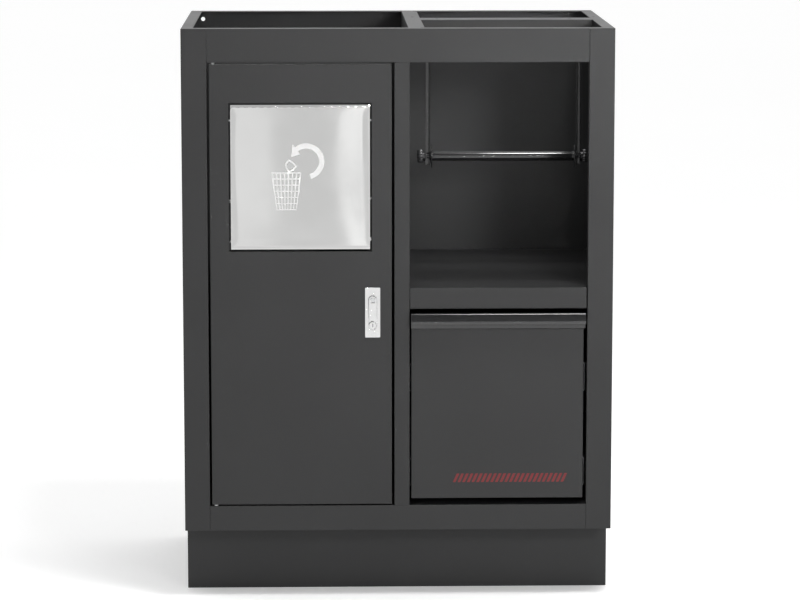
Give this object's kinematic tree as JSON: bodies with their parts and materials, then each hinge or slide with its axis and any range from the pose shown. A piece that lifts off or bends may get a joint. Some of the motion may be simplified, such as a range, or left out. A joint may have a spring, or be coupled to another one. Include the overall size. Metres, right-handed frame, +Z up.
{
  "type": "waste and paper roll cabinet",
  "caption": "Workshop base cabinet: a door with a swing waste flap over a bin, a hanging paper roll bay with a shelf, and a drawer on ball slides.",
  "frame": {"origin": "centre of the footprint at floor level", "axes": "+Z up, the front with door and drawer faces -Y, +X to the right seen from the front"},
  "size_m": [0.68, 0.476, 0.91],
  "materials": {
    "carcass_paint": "satin anthracite powder coat",
    "zinc_plate": "bright zinc plate",
    "gloss_black": "gloss black",
    "black_plastic": "moulded black",
    "polished_steel": "mirror-polished stainless",
    "satin_chrome": "satin chrome",
    "buffer_rubber": "matt",
    "bush_plastic": "moulded",
    "bin_plastic": "moulded, fine grain"
  },
  "bodies": {
    "root": {"side_panel_left": "carcass_paint", "side_panel_right": "carcass_paint", "back_panel": "carcass_paint", "base_panel": "carcass_paint", "top_front_rail": "carcass_paint", "bottom_front_rail": "carcass_paint", "partition_panel": "carcass_paint", "shelf_tray": "carcass_paint", "plinth_front": "carcass_paint", "plinth_rear": "carcass_paint", "plinth_left": "carcass_paint", "plinth_right": "carcass_paint", "plinth_bolts": "zinc_plate", "roll_cross_bar": "carcass_paint", "roll_hanger_left": "gloss_black", "roll_hanger_right": "gloss_black", "hanger_screws": "zinc_plate", "door_pivot_pins": "zinc_plate", "slide_outer_members": "zinc_plate", "slide_spacers": "carcass_paint", "waste_bin": "bin_plastic"},
    "door": {"door_panel": "carcass_paint", "door_pivot_bushes": "bush_plastic", "door_stiffener": "carcass_paint", "door_buffers": "buffer_rubber", "flap_pivot_bushes": "bush_plastic", "lock_housing": "satin_chrome", "lock_clamp": "zinc_plate"},
    "flap": {"flap_plate": "polished_steel", "flap_pins": "zinc_plate"},
    "lock_turn": {"lock_spindle": "zinc_plate", "lock_cam": "zinc_plate", "cam_nut": "zinc_plate"},
    "lever": {"handle_lever": "satin_chrome", "lever_pin": "zinc_plate"},
    "button": {"lock_button": "satin_chrome"},
    "roll": {"roll_rod": "gloss_black", "roll_discs": "gloss_black", "roll_knobs": "black_plastic"},
    "drawer": {"drawer_front": "carcass_paint", "drawer_handle": "gloss_black", "handle_bracket": "carcass_paint", "drawer_box": "carcass_paint", "drawer_screws": "zinc_plate", "slide_inner_members": "zinc_plate"},
    "slide_middles": {"slide_middle_members": "zinc_plate"}
  },
  "joints": [
    {"name": "door_hinge", "type": "hinge", "parent": "root", "child": "door", "pos_m": [-0.29, -0.216, 0.5], "axis": [0, 0, -1], "range_deg": [0, 105]},
    {"name": "flap_swing", "type": "hinge", "parent": "door", "child": "flap", "pos_m": [-0.154, -0.2171, 0.766], "axis": [1, 0, 0], "range_deg": [0, 80]},
    {"name": "lock_turn", "type": "hinge", "parent": "door", "child": "lock_turn", "pos_m": [-0.0405, -0.222, 0.4815], "axis": [0, -1, 0], "range_deg": [0, 90]},
    {"name": "lever_tip", "type": "hinge", "parent": "lock_turn", "child": "lever", "pos_m": [-0.0405, -0.2262, 0.4815], "axis": [-1, 0, 0], "range_deg": [0, 30]},
    {"name": "button_push", "type": "slide", "parent": "door", "child": "button", "axis": [0, 1, 0], "range_m": [0, 0.002], "stiffness_N_per_m": 400},
    {"name": "roll_spin", "type": "hinge", "parent": "root", "child": "roll", "pos_m": [0.1775, 0.012, 0.685], "axis": [1, 0, 0], "continuous": true},
    {"name": "drawer_slide", "type": "slide", "parent": "root", "child": "drawer", "axis": [0, -1, 0], "range_m": [0, 0.38]},
    {"name": "slide_middle", "type": "slide", "parent": "root", "child": "slide_middles", "axis": [0, -1, 0], "range_m": [0, 0.19]}
  ],
  "couplings": [
    {"joint": "slide_middle", "follows": "drawer_slide", "ratio": 0.5}
  ]
}
